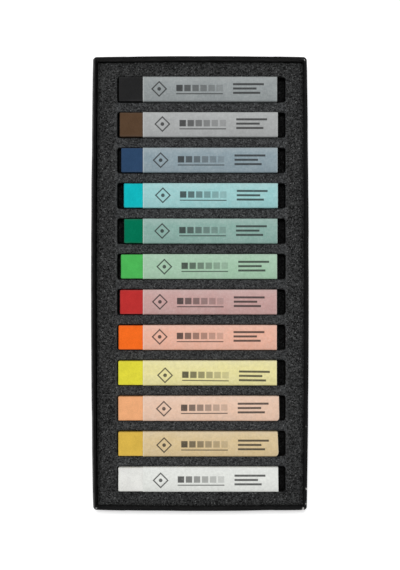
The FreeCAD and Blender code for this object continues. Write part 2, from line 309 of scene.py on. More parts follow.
# Rubbed places: x and y in mm on the rim, reach in mm, and how worn
coverWear = [
    (41.2, 90.4, 1.1, 0.8), (42.1, 90.1, 0.8, 0.66), (-41.7, -90.5, 1.1, 0.72), (41.4, -90.5, 1.1, 1.0),
    (41.5, -91.3, 1.0, 1.0), (42.7, -89.0, 1.0, 0.68), (43.0, -82.6, 1.2, 0.82), (42.8, -57.3, 0.9, 0.8),
    (-42.6, 90.2, 1.2, 0.6),
]
# How worn the edges are, and how strong the painted highlight on the folds and the painted light on the
# insides are
coverAge = {
    "rim": 0.2, "corners": 0.42, "foot": 0.36, "leftFoldHighlight": 0.95, "lessHighlightInMiddle": 0.25, "otherFoldsHighlight": 0.02,
    "insideBackLight": 0.42, "inside": 0.14,
}


def coverMaterial():
    material, tree, place = newMaterial("blackCoverPaper", specular=0.045)
    c = coverTones
    fibres = useGroup(tree, paperFibre, Place=place, Size=0.5 * mm)
    wear = useGroup(tree, wornEdge, Place=place, Worn=mask(tree, "worn"))
    patches = spread(tree, noise(tree, place, 14 * mm, 3.0), 0.3, 0.7)
    dark = mixColour(tree, patches, c["deep"], c["plain"])
    flecked = mixColour(tree, spread(tree, fibres["Tone"], 0.2, 1.0, 0.0, 0.25), dark, c["fleck"])
    uneven = spread(tree, noise(tree, place, 3 * mm, 3.0), 0.3, 0.65, 0.55, 1.0)
    # Painted light on the folds and insides, and real rubbing round the bare spots, both greyed towards the
    # rubbed tone
    rubbed = calc(tree, "MAXIMUM", times(tree, mask(tree, "paintedLight"), uneven), times(tree, wear["Rubbed"], 0.21))
    greyed = mixColour(tree, rubbed, flecked, c["rubbed"])
    colour = mixColour(tree, wear["Bare"], greyed, c["bare"])
    rough = spread(tree, fibres["Tone"], -1.0, 1.0, 0.48, 0.6, "LINEAR")
    return finishMaterial(material, colour, rough, fibres["Height"], 0.03 * mm, 0.5)


def wallOutline(half):
    # The rounded rectangle as core, outward normal, bulge and wall of each point: at inset d it lies at
    # core + normal * (radius - d). Along a wall t runs from -1 to 1 and the bulge is 1 - t^2, on a corner 0
    s, parts = coverSizes, []
    corners = np.array([(1, -1), (1, 1), (-1, 1), (-1, -1)]) * (half - s["cornerRadius"])
    for quarter, here in enumerate(corners):
        there = corners[(quarter + 1) % 4]
        angle = math.pi / 2 * quarter
        length = np.linalg.norm(there - here)
        t = np.linspace(-1, 1, int(length / s["sideStep"]))[1:-1]
        if quarter % 2:
            # Two close columns at the edge of each glued flap keep its step sharp
            edge, step = 1 - 2 * s["lapFrom"] / length, s["lapEdge"]
            t = np.sort(np.hstack([t, edge, edge + step, -edge, -edge - step]))
        share = (t[:, None] + 1) / 2
        straight = np.tile(bearing(angle), (len(t), 1))
        parts.append(((1 - share) * here + share * there, straight, 1 - t ** 2, np.full(len(t), quarter)))
        turn = angle + np.linspace(0, math.pi / 2, s["arcSteps"])
        parts.append((np.tile(there, (len(turn), 1)), bearing(turn), 0 * turn, np.full(len(turn), -1)))
    return [np.concatenate(part) for part in zip(*parts)]


def coverProfile(tall):
    # Inset, height and side of each point from the underside over the rim and down inside
    s = coverSizes
    foot, outer, inner, wall = s["footFold"], s["outerFold"], s["innerFold"], s["wall"]
    bends = [(1 - math.sin(q), 1 - math.cos(q)) for q in np.linspace(0, math.pi / 2, s["foldSteps"])]
    under = [(inset, 0.0, 0) for inset in (*s["underRings"], foot)]
    fold = [(foot * a, foot * b, 0) for a, b in bends[1:]]
    up = [(0.0, z, 0) for z in np.linspace(foot, tall - outer, s["outerSteps"])[1:]]
    over = [(outer * b, tall - outer * a, 0) for a, b in bends[1:]]
    down = [(wall - inner * a, tall - inner * b, 1) for a, b in bends]
    inside = [(wall, z, 1) for z in np.linspace(tall - inner, s["turnedTo"], s["innerSteps"])[1:]]
    return np.array(under + fold + up + over + down + inside).T


def coverMasks(grid, profile, outline, tall, half):
    # Worn: rim, corners, foot and the rubbed places. Painted light: a painted highlight on the folds, mostly
    # the left one, and painted light on the insides, most on the back wall's
    s, age = coverSizes, coverAge
    (inset, height, inner), (_, normal, bulge, _) = profile, outline
    columns = len(bulge)
    rim = smooth(s["rimReach"], 0.0, tall - height) * smooth(1.3 * s["wall"], 0.6 * s["wall"], inset)
    foot = smooth(s["footReach"], 0.0, height) * (inset < 1 * mm)
    toCorner = np.hypot(*(half - np.abs(grid[:, :2])).T)
    worn = np.repeat(np.maximum(rim * age["rim"], foot * age["foot"]), columns)
    worn = np.maximum(worn, smooth(s["cornerReach"], 0.5 * mm, toCorner) * age["corners"])
    for spotX, spotY, reach, amount in coverWear:
        near = np.linalg.norm(grid - [spotX * mm, spotY * mm, tall], axis=1)
        worn = np.maximum(worn, amount * smooth(reach * mm, 0.0, near))
    fold = smooth(s["foldLightIn"], s["foldLightFull"], inset) * smooth(s["foldLightDown"], s["foldLightFull"], tall - height)
    # Painted highlight on the left fold, less where the wall bulges, and painted light on the inside walls
    leftHighlight = age["leftFoldHighlight"] - age["lessHighlightInMiddle"] * bulge
    foldHighlight = np.where(normal[:, 0] < -0.7, leftHighlight, age["otherFoldsHighlight"])
    insideLight = np.where(normal[:, 1] > 0.7, age["insideBackLight"], age["inside"])
    below = inner * (height < tall - s["innerFold"] / 2)
    paintedLight = np.maximum(np.outer(fold, foldHighlight), np.outer(below, insideLight)).ravel()
    return {"worn": worn, "paintedLight": paintedLight}


def makeCover():
    low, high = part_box("cover_paper")
    s = coverSizes
    tall = high.z - low.z
    half = np.array([(high.x - low.x) / 2 - s["sideBow"], (high.y - low.y) / 2 - s["endBow"]])
    core, normal, bulge, wall = outline = wallOutline(half)
    inset, height, inner = profile = coverProfile(tall)
    # The outer face leans out from the foot, the inner one from the board floor
    leanIn = np.clip((height - s["floorTop"]) / (tall - s["floorTop"]), 0, 1)
    lean = np.where(inner > 0, leanIn, height / tall)
    bow = np.where(np.abs(normal[:, 0]) > np.abs(normal[:, 1]), s["sideBow"], s["endBow"]) * bulge
    # Beyond a small corner the underside's rings draw in towards the middle
    kept = np.minimum(inset, s["underKept"])
    out = s["cornerRadius"] - kept[:, None] + lean[:, None] * bow
    drawn = 1 - (inset - kept)[:, None] / (half - s["cornerRadius"])
    # The glued flap stands proud beside each corner of the end walls
    recess = s["lapStep"] * ((wall % 2 == 1) & (np.abs(core[:, 0]) < half[0] - s["lapFrom"]))
    onWall = smooth(*s["lapFoot"], height) * (1 - inner) * (inset < s["wall"] / 2)
    out -= onWall[:, None] * recess
    flat = core * drawn[:, None] + normal * out[:, :, None]
    grid = gridPoints(flat[..., 0], flat[..., 1], height[:, None])
    uneven = waves(grid, 3, *s["wave"]).reshape(out.shape)
    swing = np.where(inner > 0, s["waveInside"], 1.0) * smooth(0, s["waveFoot"], height)
    grid[:, :2] += (normal * (swing[:, None] * np.minimum(uneven, 0.0))[:, :, None]).reshape(-1, 2)
    rows, columns = out.shape
    faces = [*gridFaces(rows, columns, closed=True), np.arange(columns)[::-1]]
    masks = coverMasks(grid, profile, outline, tall, half)
    cover = makePiece("trayCover", grid, faces, coverMaterial(), masks)
    addPaper(cover, s["paper"], -1)
    dress(cover, "tray", "cover_paper")


makeCover()
print("tray cover made")


# Board and corner tape, hidden in the walls

def paperMaterial(name, base, speck, rough, size):
    material, tree, place = newMaterial(name)
    fibres = useGroup(tree, paperFibre, Place=place, Size=size)
    blotch = noise(tree, place, 6 * mm, 3.0)
    shade = mixColour(tree, spread(tree, blotch, 0.3, 0.7), base, speck)
    colour = mixColour(tree, spread(tree, fibres["Tone"], 0.0, 1.0, 0.0, 0.3), shade, speck)
    return finishMaterial(material, colour, rough, fibres["Height"], 0.04 * mm, 0.6)


def coat(node, material):
    mesh = nodes[node].data
    mesh.materials.clear()
    mesh.materials.append(material)


coat("tray_board", paperMaterial("greyBoard", (0.3, 0.28, 0.25), (0.19, 0.18, 0.165), 0.85, 0.9 * mm))
coat("corner_stays", paperMaterial("cornerTape", (0.5, 0.4, 0.27), (0.4, 0.31, 0.2), 0.7, 0.6 * mm))
print("board and tape dressed")


# Foam, cut and plain

foamSizes = {
    "leftGap": 0.25 * mm,  # pocket past the bare end of a full stick
    "fingerGap": 3.5 * mm,  # free end of a pocket
    "halfPocket": 5.2 * mm, "cornerRadius": 0.9 * mm,
    "slack": 0.14 * mm,  # how far the free ends draw in, past the stick from here to here
    "freeEnd": (-0.2 * mm, 2.2 * mm),
    "arcFade": 1.5 * mm, "slackFade": 3.0 * mm,  # past the pockets the mesh's lines straighten over these
    "wobble": (0.035 * mm, 2 * mm, 14 * mm),  # waves of the pockets' edges: size, shortest and longest
    "surface": (0.05 * mm, 1.5 * mm, 7 * mm),  # fine and wide waves of the cut face
    "sag": (0.06 * mm, 12 * mm, 50 * mm),
    "edgeRound": 0.35 * mm, "edgeReach": 0.6 * mm,
    "wallDrop": 0.55 * mm, "wallReach": 1.8 * mm,  # how far the block sinks at the tray's walls
    "lipRise": 0.08 * mm,
    "lipBand": (0.1 * mm, 0.4 * mm, 0.6 * mm, 0.95 * mm),  # distances over which it rises, then fades
    "webLightFade": 1.5 * mm,
    # Painted shade along the walls and at the pockets' edges
    "paintedShadeX": (1.7 * mm, 0.1 * mm), "paintedShadeY": (0.8 * mm, 0.0), "paintedShadePocket": 0.3 * mm,
    "bulgeFrom": (4 / 5, 17 / 18),  # shares of the half width and length past which the block bulges
    "insertLevels": (0.12, 0.3, 0.5, 0.7, 0.88),  # rings down the walls, as shares of the depth
    "baseLevels": (0.2, 0.5, 0.8), "baseSteps": 120,
    # Lines across the rails, along a pocket, across it and across a web: how many, and the finest step
    "railLines": (14, 0.02), "alongLines": (84, 0.006), "pocketLines": (13, 0.03), "webLines": (11, 0.04),
}
foamTones = {
    # The pressed tone is painted light between the pockets, where the sticks shade the foam
    "deep": (0.0262, 0.0267, 0.0267), "plain": (0.0345, 0.0355, 0.0355), "pressed": (0.0585, 0.061, 0.0635),
    "glint": (0.17, 0.173, 0.173), "lip": (0.078, 0.078, 0.08),
}
# How much of the die's pale lip shows at the left and right end of each pocket
foamLips = {
    "black": (0.4, 0.1), "brown": (0.8, 0.1), "navy": (0.5, 0.0), "turquoise": (1.0, 0.1),
    "dark_green": (1.0, 0.1), "green": (1.0, 1.0), "red": (0.7, 0.1), "orange": (0.25, 0.2),
    "yellow": (0.7, 0.8), "peach": (0.3, 0.4), "ochre": (0.2, 0.7), "white": (0.1, 0.2),
}


def foamMaterial():
    material, tree, place = newMaterial("blackFoam", specular=0.05)
    c = foamTones
    cells = useGroup(tree, foamCells, Place=place)
    pressed = mask(tree, "pressed")
    base = mixColour(tree, noise(tree, place, 20 * mm, 2.0), c["deep"], c["plain"])
    # Painted light: between the pockets the base tone is lifted, where the sticks shade the foam
    base = mixColour(tree, times(tree, pressed, 0.8), base, c["pressed"])
    # Between the pockets the foam is pressed flatter, so its cells show less
    flat = calc(tree, "SUBTRACT", 1.0, times(tree, pressed, 0.35))
    shade = calc(tree, "MULTIPLY_ADD", calc(tree, "SUBTRACT", cells["Shade"], 1.0), flat, 1.0)
    colour = mixColour(tree, 1.0, base, shade, "MULTIPLY")
    colour = mixColour(tree, cells["Glint"], colour, c["glint"])
    ragged = spread(tree, noise(tree, place, 1.4 * mm, 3.0, 0.7), 0.35, 0.6, 0.2, 0.9)
    colour = mixColour(tree, times(tree, mask(tree, "lip"), ragged), colour, c["lip"])
    # Painted shade: deep in the pockets and under the walls the foam is darkened
    light = calc(tree, "MULTIPLY_ADD", mask(tree, "deep"), -0.83, 1.0)
    colour = mixColour(tree, 1.0, colour, light, "MULTIPLY")
    return finishMaterial(material, colour, 0.9, cells["Height"], 0.18 * mm, 0.8)


def steps(count, finest):
    # Shares from 0 to 1, eased by a cosine and closest at both ends
    t = np.linspace(0, 1, count)
    eased = (1 - np.cos(math.pi * t)) / 2
    ends = np.array([0, finest, 2.5 * finest])
    return np.unique(np.hstack([ends, eased[2:-2], 1 - ends]))


def foamLines(midX, halfX, left, right):
    # Where the mesh's lines across the sticks lie: both rails, and the pockets with their corners' arcs
    s = foamSizes
    rail, inner = steps(*s["railLines"]), steps(*s["alongLines"])
    bend = s["cornerRadius"] / (right - left)
    arc = bend * (1 - np.cos(np.linspace(0, math.pi / 2, 6)))
    inner = inner[(inner > bend) & (inner < 1 - bend)]
    inner = np.unique(np.round(np.hstack([arc, 1 - arc, inner]), 9))
    return np.hstack([midX - halfX + rail[:-1] * (left - midX + halfX), left + inner * (right - left),
                      right + rail[1:] * (midX + halfX - right)])


def pocketEdges(x, rows, left, right, stickEnd):
    # The long edges of each pocket at each line: its half width less radius - sqrt(radius^2 - d^2) on the
    # corners' arcs, less the free end's drawing in, less a few waves
    s = foamSizes
    radius = s["cornerRadius"]
    beyond = np.maximum(left - x, x - right)
    past = np.clip(beyond, 0, None)
    arcDrop = radius - np.sqrt(radius ** 2 - np.clip(beyond + radius, 0, radius) ** 2)
    free = smooth(*s["freeEnd"], x - stickEnd) * np.exp(-past / s["slackFade"])
    half = s["halfPocket"] - arcDrop * np.exp(-past / s["arcFade"]) - free * s["slack"]
    edges = []
    for number, row in enumerate(rows):
        wobble = np.abs(waves(gridPoints(x, row, 0.0), 40 + number, *s["wobble"])) / 2
        edges.append((row - half + wobble, row + half - wobble[::-1]))
    return edges


def foamStrips(lowEdge, highEdge, pockets):
    # The lines along the sticks at every line across them, and which of the strips between are in a pocket
    s, lines, inPocket = foamSizes, [lowEdge[None]], []
    edges = [lowEdge, *(edge for pair in pockets for edge in pair), highEdge]
    for number, (lower, upper) in enumerate(zip(edges[:-1], edges[1:])):
        pocket = number % 2 == 1
        shares = np.linspace(0, 1, s["baseSteps"])
        if pockets:
            side = number in (0, len(edges) - 2)
            shares = steps(*s["pocketLines" if pocket else "railLines" if side else "webLines"])
        lines.append(lower + shares[1:, None] * (upper - lower))
        inPocket += [pocket] * (len(shares) - 1)
    return np.concatenate(lines), np.array(inPocket)


def closedBlock(top, bottom, quads, levels):
    # The top's faces, the same turned over below, and rings of wall between the open edges of the two.
    # Also each point's place in the top, and its level from 0 at the top to 1 at the bottom
    count = len(top)
    pairs = np.vstack([quads[:, [k, (k + 1) % 4]] for k in range(4)])
    firstAt, uses = np.unique(np.sort(pairs, axis=1), axis=0, return_index=True, return_counts=True)[1:]
    rimEdges = pairs[firstAt[uses == 1]]
    rim, place = np.unique(rimEdges, return_inverse=True)
    place = place.reshape(-1, 2)
    rings = [(1 - level) * top[rim] + level * bottom[rim] for level in levels]
    points = np.vstack([top, bottom] + rings)
    rows = [2 * count + n * len(rim) + place for n in range(len(levels))]
    rows = [rimEdges, *rows, count + rimEdges]
    walls = [np.stack([a[:, 1], a[:, 0], b[:, 0], b[:, 1]], 1) for a, b in zip(rows[:-1], rows[1:])]
    faces = np.vstack([quads, count + quads[:, ::-1]] + walls)
    source = np.hstack([np.arange(count)] * 2 + [rim] * len(levels))
    level = np.hstack([np.zeros(count), np.ones(count), np.repeat(levels, len(rim))])
    used, faces = np.unique(faces, return_inverse=True)
    return points[used], faces.reshape(-1, 4), source[used], level[used]


def foamMarks(x, y, midX, left, right, pockets):
    # Distance to the pockets, the pale edge that the die left at their two ends, and the foam between them
    # that it has pressed, which also carries painted light
    s, toPocket, lip = foamSizes, np.full(y.shape, 1.0), np.zeros(y.shape)
    if not pockets:
        return toPocket, lip, lip
    dx = np.maximum(np.maximum(left - x, x - right), 0)
    rise, full, fade, gone = s["lipBand"]
    for (lower, upper), colour in zip(pockets, colourNames[::-1]):
        away = np.hypot(dx, np.maximum(np.maximum(lower - y, y - upper), 0))
        toPocket = np.minimum(toPocket, away)
        band = smooth(gone, fade, away) * smooth(rise, full, away) * smooth(0.0, full, dx)
        lip = np.maximum(lip, np.where(x < midX, *foamLips[colour]) * band)
    between = (y > pockets[0][0]) & (y < pockets[-1][1])
    return toPocket, lip, between * smooth(s["webLightFade"], -s["webLightFade"], dx)


def foamLayer(name, node, material, cut):
    # A block on a grid of lines that follow the walls and the pocket edges, open in the pockets
    s, bow = foamSizes, (coverSizes["sideBow"], coverSizes["endBow"])
    low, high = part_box(node)
    # The block follows the walls' bulge in step with its height
    floor, rim = coverSizes["floorTop"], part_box("cover_paper")[1].z
    shareTop, shareLow = (max(0.0, (z - floor) / (rim - floor)) for z in (high.z, low.z))
    midX, midY = (low.x + high.x) / 2, (low.y + high.y) / 2
    halfX, halfY = (high.x - low.x) / 2 - shareTop * bow[0], (high.y - low.y) / 2 - shareTop * bow[1]
    boxes = [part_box("stick_" + colour) for colour in colourNames[::-1]]
    rows = [(box[0].y + box[1].y) / 2 for box in boxes]
    stickEnd = boxes[0][1].x
    left, right = boxes[0][0].x - s["leftGap"], stickEnd + s["fingerGap"]
    xLines = foamLines(midX, halfX, left, right)
    pockets = pocketEdges(xLines, rows, left, right, stickEnd) if cut else []
    lowEdge = np.full(len(xLines), midY - halfY)
    y, inPocket = foamStrips(lowEdge, lowEdge + 2 * halfY, pockets)
    x = np.broadcast_to(xLines, y.shape).copy()
    cellX = (xLines[:-1] + xLines[1:]) / 2
    dropped = inPocket[:, None] & (cellX > left) & (cellX < right)
    quads = gridFaces(*y.shape)[~dropped.ravel()]
    # The outer faces bulge with the tray: 1 - t^2 along each wall, fading to none at the pockets
    u, v = (x - midX) / halfX, (y - midY) / halfY
    bulgeX = smooth(s["bulgeFrom"][0], 1, np.abs(u)) * np.sign(u) * (1 - v ** 2) * bow[0]
    bulgeY = smooth(s["bulgeFrom"][1], 1, np.abs(v)) * np.sign(v) * (1 - u ** 2) * bow[1]
    toWallX, toWallY = halfX - np.abs(x - midX), halfY - np.abs(y - midY)
    toPocket, lip, pressed = foamMarks(x, y, midX, left, right, pockets)
    flat = gridPoints(x, y, 0.0)
    uneven = (waves(flat, 7, *s["surface"], count=40) + waves(flat, 8, *s["sag"])).reshape(y.shape)
    drop = s["edgeRound"] * np.clip(1 - toPocket / s["edgeReach"], 0, 1) ** 2 - s["lipRise"] * lip
    drop += s["wallDrop"] * np.clip(1 - np.minimum(toWallX, toWallY) / s["wallReach"], 0, 1) ** 2
    topZ = high.z - 2 * s["surface"][0] - s["lipRise"] - drop + uneven
    top = gridPoints(x + shareTop * bulgeX, y + shareTop * bulgeY, topZ)
    bottom = gridPoints(x + shareLow * bulgeX, y + shareLow * bulgeY, low.z)
    points, faces, source, level = closedBlock(top, bottom, quads, s["insertLevels" if cut else "baseLevels"])
    # Painted shade along the walls, at the pockets' edges, and down in the pockets
    paintedWallShade = np.maximum(smooth(*s["paintedShadeX"], toWallX), smooth(*s["paintedShadeY"], toWallY) * 0.8)
    paintedPocketShade = smooth(s["paintedShadePocket"], 0.0, toPocket) * 0.8
    deep = np.maximum(0.5 * paintedWallShade, paintedPocketShade) if cut else np.ones(y.shape)
    onTop = level == 0
    masks = {"lip": lip.ravel()[source] * onTop, "pressed": pressed.ravel()[source] * onTop,
             "deep": np.where(onTop, deep.ravel()[source], np.minimum(1, 0.8 + level))}
    piece = makePiece(name, points, faces, material, masks)
    dress(piece, "tray", node)


foamBlack = foamMaterial()
foamLayer("foamInsert", "foam_insert", foamBlack, cut=True)
foamLayer("foamBase", "foam_base", foamBlack, cut=False)
print("foam made")


# Pastel sticks

stickSizes = {
    "edgeRadius": 0.55 * mm, "endRadius": 0.45 * mm,
    "endLoss": 0.18 * mm,  # what the bare end has lost
    "grain": (0.02 * mm, 0.9 * mm, 6 * mm),  # pressed surface: size, shortest and longest wave
    "chips": 7,  # small losses on the edges of each stick
    "chipReach": 0.55 * mm, "chipDepth": 0.22 * mm,
    "chipSpread": (0.5, 1.3),  # the smallest and the largest, times that reach
    "step": 0.8 * mm, "faceSteps": 10, "edgeSteps": 5, "endSteps": 6, "endRings": (0.35, 0.65, 0.85, 0.96),
}
# Pigments, as they render under plain light
pigments = {
    "black": (0.019, 0.019, 0.0195), "brown": (0.092, 0.053, 0.03), "navy": (0.026, 0.06, 0.127),
    "turquoise": (0.006, 0.46, 0.5), "dark_green": (0.001, 0.165, 0.083), "green": (0.072, 0.45, 0.095),
    "red": (0.49, 0.032, 0.031), "orange": (0.9, 0.15, 0.016), "yellow": (0.74, 0.68, 0.05),
    "peach": (0.85, 0.41, 0.195), "ochre": (0.7, 0.46, 0.075), "white": (0.79, 0.79, 0.755),
}


def shifted(colour, scale, lift, most=0.95):
    return tuple(min(most, channel * scale + lift) for channel in colour)


def chalkMaterial(name, pigment):
    # Clouds, pressed grain, dusty specks, and dustier edges
    material, tree, place = newMaterial("chalk_" + name, specular=0.02)
    cloud = noise(tree, place, 4.5 * mm, 3.0, 0.6)
    grain = noise(tree, place, 0.35 * mm, 4.0, 0.75)
    along = addNode(tree, "Mapping", {"Vector": place, "Scale": (0.15, 1.0, 1.0)}).outputs[0]
    pressed = noise(tree, along, 0.8 * mm, 2.0)
    deep, light, dusty = (shifted(pigment, *by) for by in ((0.95, 0.0), (1.045, 0.0005), (0.96, 0.035)))
    body = mixColour(tree, spread(tree, cloud, 0.3, 0.7), deep, light)
    body = mixColour(tree, 1.0, body, spread(tree, grain, 0.3, 0.7, 0.88, 1.1, "LINEAR"), "MULTIPLY")
    speckled = mixColour(tree, spread(tree, grain, 0.55, 0.8, 0.0, 0.2), body, dusty)
    rubbed = times(tree, mask(tree, "edge"), spread(tree, cloud, 0.25, 0.6, 0.15, 0.5))
    height = calc(tree, "ADD", grain, times(tree, pressed, 0.5))
    return finishMaterial(material, mixColour(tree, rubbed, speckled, dusty), 0.95, height, 0.07 * mm, 0.8)


def roundedSquare(half):
    # Points and outward normals once round a square whose corners are arcs, and how near each is to a corner
    s = stickSizes
    radius, inner = s["edgeRadius"], half - s["edgeRadius"]
    t = np.linspace(-1, 1, s["faceSteps"] + 1)[1:-1]
    bend = np.linspace(0, math.pi / 2, s["edgeSteps"])
    side = np.vstack([np.stack([np.full(len(t), half), t * inner], 1), inner + radius * bearing(bend)])
    around = np.vstack([np.tile([1.0, 0.0], (len(t), 1)), bearing(bend)])
    edge = np.hstack([0 * t, np.sin(2 * bend) ** 0.7 + 0.08])
    spins = [np.array([[cos, sin], [-sin, cos]]) for cos, sin in bearing(math.pi / 2 * np.arange(4))]
    points, normals = (np.vstack([part @ spin for spin in spins]) for part in (side, around))
    return points, normals, np.tile(edge, 4)


def makeStick(colour, number):
    # The square section carried along X, drawn in over each end's rounding, with rings across both ends
    s = stickSizes
    low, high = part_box("stick_" + colour)
    low.x += s["endLoss"]
    half = (high.z - low.z) / 2
    centre = (low.y + high.y) / 2, (low.z + high.z) / 2
    section, normals, edges = roundedSquare(half)
    length = high.x - low.x
    bend = np.linspace(0, math.pi / 2, s["endSteps"])
    draw, reach = s["endRadius"] * (1 - np.sin(bend)), s["endRadius"] * (1 - np.cos(bend))
    run = np.linspace(s["endRadius"], length - s["endRadius"], int(length / s["step"]))[1:-1]
    caps = np.array(s["endRings"])
    flat = 0 * caps
    stations = low.x + np.hstack([flat, reach, run, (length - reach)[::-1], flat + length])
    insets = np.hstack([flat + draw[0], draw, 0 * run, draw[::-1], flat + draw[0]])
    scales = np.hstack([caps, np.ones(len(stations) - 2 * len(caps)), caps[::-1]])
    rows, columns = len(stations), len(section)
    ring = (section - normals * insets[:, None, None]) * scales[:, None, None]
    grid = sweep(stations[:, None], ring, centre)
    lean = (insets / s["endRadius"])[:, None]
    facing = np.where(np.arange(rows) < rows / 2, -1, 1)[:, None] * lean
    out = sweep(facing, normals * (1 - lean[:, None]))
    out /= np.linalg.norm(out, axis=1, keepdims=True)
    rimmed = np.where(scales > 0.95, np.sin(np.pi * lean[:, 0]) * 0.9, 0.0)
    edge = np.maximum(np.tile(edges, rows), np.repeat(rimmed, columns)) * np.repeat(scales >= 0.9, columns)
    press = -np.abs(waves(grid, 100 + number, *s["grain"]))
    dice = np.random.default_rng(300 + number)
    ridge = np.flatnonzero((edge > 0.85) & (grid[:, 2] > centre[1]))
    for spot in dice.choice(ridge, s["chips"], replace=False):
        size = s["chipReach"] * dice.uniform(*s["chipSpread"])
        near = np.linalg.norm((grid - grid[spot]) * [0.7, 1, 1], axis=1)
        press -= s["chipDepth"] * smooth(size, 0.0, near) * (0.7 + 0.3 * np.sin(near / size * 9))
    hubs = [(low.x, *centre), (high.x, *centre)]
    faces = list(gridFaces(rows, columns, closed=True))
    first, hub = np.arange(columns), rows * columns
    last = first + hub - columns
    faces += [(a, b, hub) for a, b in zip(np.roll(first, -1), first)]
    faces += [(a, b, hub + 1) for a, b in zip(last, np.roll(last, -1))]
    piece = makePiece("pastel_" + colour, np.vstack([grid + out * press[:, None], hubs]), faces,
                      chalkMaterial(colour, pigments[colour]), {"edge": np.hstack([edge, 0, 0])})
    dress(piece, "pastel_" + colour, "stick_" + colour)


for number, colour in enumerate(colourNames):
    makeStick(colour, number)
print("sticks made")


# Paper sleeves

sleeveSizes = {
    "fold": 0.65 * mm,  # radius of the paper's four folds
    "paper": 0.1 * mm,
    "lapFrom": 0.8 * mm, "lapTo": 4.0 * mm,  # glued overlap on the underside, across the stick
    "backLeft": 0.2 * mm, "backRight": 0.15 * mm,  # how far the cut ends stand back from the node's
    "loose": 0.015 * mm,  # how far the paper stands off or clings
    "looseWave": (1, 3 * mm, 16 * mm),
    "crushWave": (0.4, 2.5 * mm, 6 * mm),  # raggedness of the caved-in ends
    "lift": 0.05 * mm,  # flare of the cut edge over the bare chalk
    "mapUnit": 60 * mm,  # one unit of the sleeve's map
    "step": 0.75 * mm,
    "closeRows": (0.004, 0.01, 0.96, 0.97, 0.985, 0.995),  # rows near the cut ends, as shares of the length
}
# How crooked a sleeve's far end is cut, how far it has caved in, and what its front corner lost, in mm
sleeveCuts = {"peach": (0.15, 0.3, 0.8), "ochre": (0.45, 0.2, 1.0), "white": (0.12, 0.05, 0.0)}
plainCut = (0.0, 0.1, 0.0)
# How far each print has slid along and across its sleeve, in mm, and how much it is turned
printPlace = {
    "black": (0.0, 0.0, 0.0), "brown": (1.3, 0.15, 0.0), "navy": (0.6, -0.1, 0.0),
    "turquoise": (1.5, 0.1, 0.004), "dark_green": (1.2, 0.0, 0.0), "green": (2.1, -0.1, -0.002),
    "red": (0.3, 0.1, 0.003), "orange": (0.2, 0.3, 0.0), "yellow": (2.4, -0.8, 0.012),
    "peach": (1.9, -0.1, -0.004), "ochre": (2.0, -0.4, 0.002), "white": (0.6, -0.3, 0.0),
}
# The paper over each pigment, which shows through it
sleeveTones = {
    "black": (0.273, 0.299, 0.303), "brown": (0.368, 0.379, 0.379), "navy": (0.24, 0.313, 0.351),
    "turquoise": (0.312, 0.571, 0.574), "dark_green": (0.237, 0.393, 0.347), "green": (0.347, 0.53, 0.385),
    "red": (0.535, 0.331, 0.311), "orange": (0.792, 0.441, 0.33), "yellow": (0.791, 0.721, 0.34),
    "peach": (0.787, 0.541, 0.404), "ochre": (0.676, 0.519, 0.288), "white": (0.771, 0.787, 0.748),
}
paperWhite = (0.84, 0.85, 0.83)
# The tone of the painted shade towards the near fold
paintedShadeTone = (0.02, 0.02, 0.02)

# The print, in mm along and across the sleeve's upper face
labelSizes = {
    "diamondAt": 6.6, "diamondHalf": 2.9, "diamondLine": 0.36, "dotRadius": 0.75,
    "scaleFrom": 13.2, "scalePitch": 3.25, "scaleCount": 6.0, "scaleY": 0.35, "squareHalf": 1.3,
    "faintest": 0.3, "ruleY": -1.95, "ruleTall": 0.2, "ruleShort": 0.3,
    "barsFrom": 36.5, "barsY": 1.9, "barsPitch": -1.75, "barHalf": 0.42, "barLengths": (12.5, 9.5, 11.0),
    "blur": 0.09,
}


def labelPrintGroup():
    # An outlined diamond with a dot, a scale of squares from full to faint over a rule, and three bars
    group, start, end = newGroup("labelPrint", {"Along": 0.0, "Across": 0.0}, ["Ink"])
    s = labelSizes
    u, v = start["Along"], start["Across"]

    def away(value, centre):
        return calc(group, "ABSOLUTE", calc(group, "SUBTRACT", value, centre))

    def within(value, centre, half, blur=s["blur"]):
        return spread(group, away(value, centre), half - blur, half + blur, 1.0, 0.0)

    def block(centreU, halfU, centreV, halfV):
        return times(group, within(u, centreU, halfU), within(v, centreV, halfV))

    du, dv, rounded = away(u, s["diamondAt"]), away(v, 0.0), s["dotRadius"] ** 2
    squared = calc(group, "ADD", calc(group, "POWER", du, 2.0), calc(group, "POWER", dv, 2.0))
    dot = spread(group, squared, rounded * 0.7, rounded * 1.3, 1.0, 0.0)
    marks = [within(calc(group, "ADD", du, dv), s["diamondHalf"], s["diamondLine"]), dot]
    counted = calc(group, "DIVIDE", calc(group, "SUBTRACT", u, s["scaleFrom"]), s["scalePitch"])
    inCell = times(group, calc(group, "SUBTRACT", calc(group, "FRACT", counted), 0.5), s["scalePitch"])
    square = times(group, within(inCell, 0.0, s["squareHalf"]), within(v, s["scaleY"], s["squareHalf"]))
    count = s["scaleCount"]
    inScale = within(counted, count / 2, count / 2, 0.001)
    fade = spread(group, calc(group, "FLOOR", counted), 0.0, count - 1, 1.0, s["faintest"], "LINEAR")
    marks.append(times(group, times(group, square, inScale), fade))
    half = count * s["scalePitch"] / 2
    marks.append(block(s["scaleFrom"] + half, half - s["ruleShort"], s["ruleY"], s["ruleTall"]))
    for number, length in enumerate(s["barLengths"]):
        atY = s["barsY"] + number * s["barsPitch"]
        marks.append(block(s["barsFrom"] + length / 2, length / 2, atY, s["barHalf"]))
    ink = marks[0]
    for mark in marks[1:]:
        ink = calc(group, "MAXIMUM", ink, mark)
    feed(group, end, {"Ink": ink})
    return group


labelPrint = labelPrintGroup()


